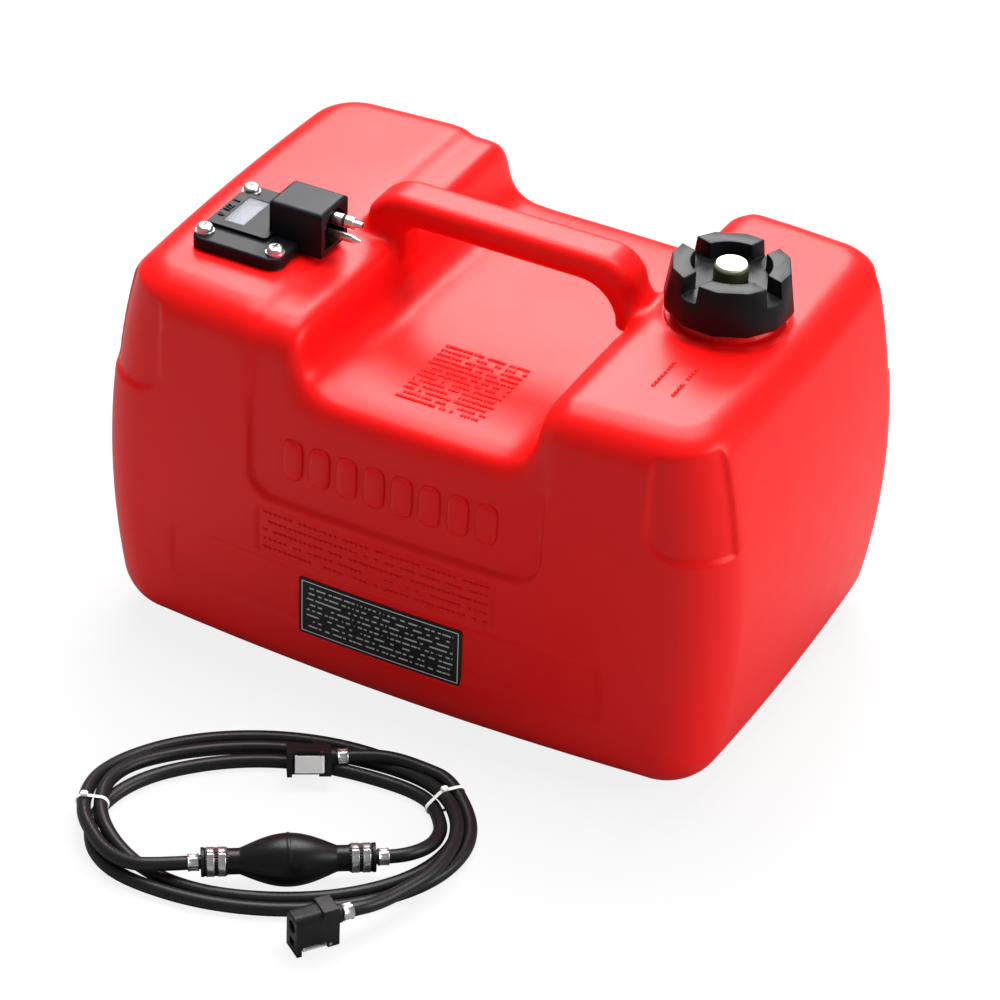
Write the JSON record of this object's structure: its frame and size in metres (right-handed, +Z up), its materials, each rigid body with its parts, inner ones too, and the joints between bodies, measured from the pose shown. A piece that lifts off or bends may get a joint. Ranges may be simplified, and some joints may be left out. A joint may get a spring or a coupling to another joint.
{
  "type": "outboard fuel tank",
  "caption": "Portable outboard fuel tank with a moulded handle, float gauge, vented filler cap and a coiled fuel line with primer bulb and quick connectors.",
  "frame": {"origin": "middle of the tank's underside, on the surface it stands on", "axes": "+X along the long side from the gauge unit to the filler cap, +Y from the labelled front to the back, +Z up"},
  "size_m": [0.3598, 0.4273, 0.242],
  "materials": {
    "tank_plastic": "semi-gloss moulded polyethylene",
    "label_film": "printed film, left plain",
    "brass_insert": "knurled",
    "cap_plastic": "satin moulded",
    "seal_rubber": "matte",
    "vent_plastic": "satin moulded",
    "vent_face": "matte",
    "housing_plastic": "satin moulded",
    "screw_steel": "stainless",
    "lens_plastic": "clear",
    "inner_plastic": "natural",
    "strip_brass": "rolled",
    "dial_card": "printed with plain marks",
    "float_foam": "closed-cell foam",
    "pin_aluminium": "turned",
    "hose_rubber": "satin",
    "tie_plastic": "satin",
    "crimp_steel": "crimped",
    "bulb_rubber": "satin moulded",
    "fitting_plastic": "satin moulded",
    "latch_steel": "pressed"
  },
  "bodies": {
    "root": {"bulb_bands": "crimp_steel", "bulb_inlet": "fitting_plastic", "bulb_outlet": "fitting_plastic", "engine_bore_seal": "seal_rubber", "engine_connector": "fitting_plastic", "engine_connector_barb": "fitting_plastic", "engine_hose_end": "hose_rubber", "engine_latch_pin": "latch_steel", "engine_plunger_spring": "latch_steel", "fuel_pin": "pin_aluminium", "gauge_cage": "inner_plastic", "gauge_housing": "housing_plastic", "gauge_lens": "lens_plastic", "guide_pin": "pin_aluminium", "hose_coil": "hose_rubber", "hose_ferrules": "crimp_steel", "hose_ties": "tie_plastic", "housing_gasket": "seal_rubber", "housing_screws": "screw_steel", "inlet_hose_end": "hose_rubber", "label_plate": "label_film", "outlet_hose_end": "hose_rubber", "pickup_strainer": "inner_plastic", "pickup_tube": "inner_plastic", "pin_seal": "seal_rubber", "primer_bulb": "bulb_rubber", "screw_inserts": "brass_insert", "screw_washers": "screw_steel", "tank_bore_seal": "seal_rubber", "tank_connector": "fitting_plastic", "tank_connector_barb": "fitting_plastic", "tank_hose_end": "hose_rubber", "tank_latch_pin": "latch_steel", "tank_plunger_spring": "latch_steel", "tank_shell": "tank_plastic"},
    "cap_carrier": {"cap_gasket": "seal_rubber"},
    "cap": {"cap_shell": "cap_plastic", "cap_liner": "cap_plastic"},
    "vent_carrier": {"vent_seal": "seal_rubber"},
    "vent": {"vent_knob": "vent_plastic", "vent_disc": "vent_face"},
    "float": {"gauge_float": "float_foam", "float_guide": "inner_plastic"},
    "pointer": {"twist_strip": "strip_brass", "gauge_dial": "dial_card"},
    "tank_latch": {"tank_latch": "latch_steel"},
    "engine_latch": {"engine_latch": "latch_steel"},
    "tank_plunger": {"tank_plunger": "fitting_plastic"},
    "engine_plunger": {"engine_plunger": "fitting_plastic"},
    "inlet_disc": {"inlet_disc": "seal_rubber"},
    "outlet_disc": {"outlet_disc": "seal_rubber"}
  },
  "joints": [
    {"name": "cap_lift", "type": "slide", "parent": "root", "child": "cap_carrier", "axis": [0, 0, 1], "range_m": [0, 0.01]},
    {"name": "cap_turn", "type": "hinge", "parent": "cap_carrier", "child": "cap", "pos_m": [0.118, 0.005, 0.218], "axis": [0, 0, 1], "range_deg": [0, 720]},
    {"name": "vent_lift", "type": "slide", "parent": "cap", "child": "vent_carrier", "axis": [0, 0, 1], "range_m": [0, 0.00225]},
    {"name": "vent_turn", "type": "hinge", "parent": "vent_carrier", "child": "vent", "pos_m": [0.118, 0.005, 0.2325], "axis": [0, 0, 1], "range_deg": [0, 540]},
    {"name": "float_rise", "type": "slide", "parent": "root", "child": "float", "axis": [0, 0, 1], "range_m": [0, 0.171]},
    {"name": "pointer_turn", "type": "hinge", "parent": "root", "child": "pointer", "pos_m": [-0.122, -0.0435, 0.006], "axis": [0, 0, 1], "range_deg": [-235.9, 0]},
    {"name": "tank_latch_press", "type": "hinge", "parent": "root", "child": "tank_latch", "pos_m": [0.06065, -0.28683, 0.0028], "axis": [-0.809, 0.5878, 0], "range_deg": [0, 7], "stiffness_Nm_per_rad": 0.02, "springref_deg": -20.05},
    {"name": "tank_plunger_slide", "type": "slide", "parent": "root", "child": "tank_plunger", "axis": [0.5878, 0.809, 0], "range_m": [0, 0.0025], "stiffness_N_per_m": 60, "springref_m": -0.003, "deforming": ["tank_plunger_spring"]},
    {"name": "engine_latch_press", "type": "hinge", "parent": "root", "child": "engine_latch", "pos_m": [0.00063, -0.18512, 0.01335], "axis": [0.1929, -0.3211, -0.9272], "range_deg": [0, 7], "stiffness_Nm_per_rad": 0.02, "springref_deg": -20.05},
    {"name": "engine_plunger_slide", "type": "slide", "parent": "root", "child": "engine_plunger", "axis": [0.8572, 0.515, 0], "range_m": [0, 0.0025], "stiffness_N_per_m": 60, "springref_m": -0.003, "deforming": ["engine_plunger_spring"]},
    {"name": "inlet_disc_lift", "type": "slide", "parent": "root", "child": "inlet_disc", "axis": [0.8387, 0.5446, 0], "range_m": [0, 0.0015], "stiffness_N_per_m": 5, "springref_m": -0.002},
    {"name": "outlet_disc_lift", "type": "slide", "parent": "root", "child": "outlet_disc", "axis": [0.8387, 0.5446, 0], "range_m": [0, 0.0015], "stiffness_N_per_m": 5, "springref_m": -0.002}
  ],
  "couplings": [
    {"joint": "cap_lift", "follows": "cap_turn", "m_per_rad": 0.000795},
    {"joint": "vent_lift", "follows": "vent_turn", "m_per_rad": 0.000238},
    {"joint": "pointer_turn", "follows": "float_rise", "rad_per_m": -24.018}
  ]
}
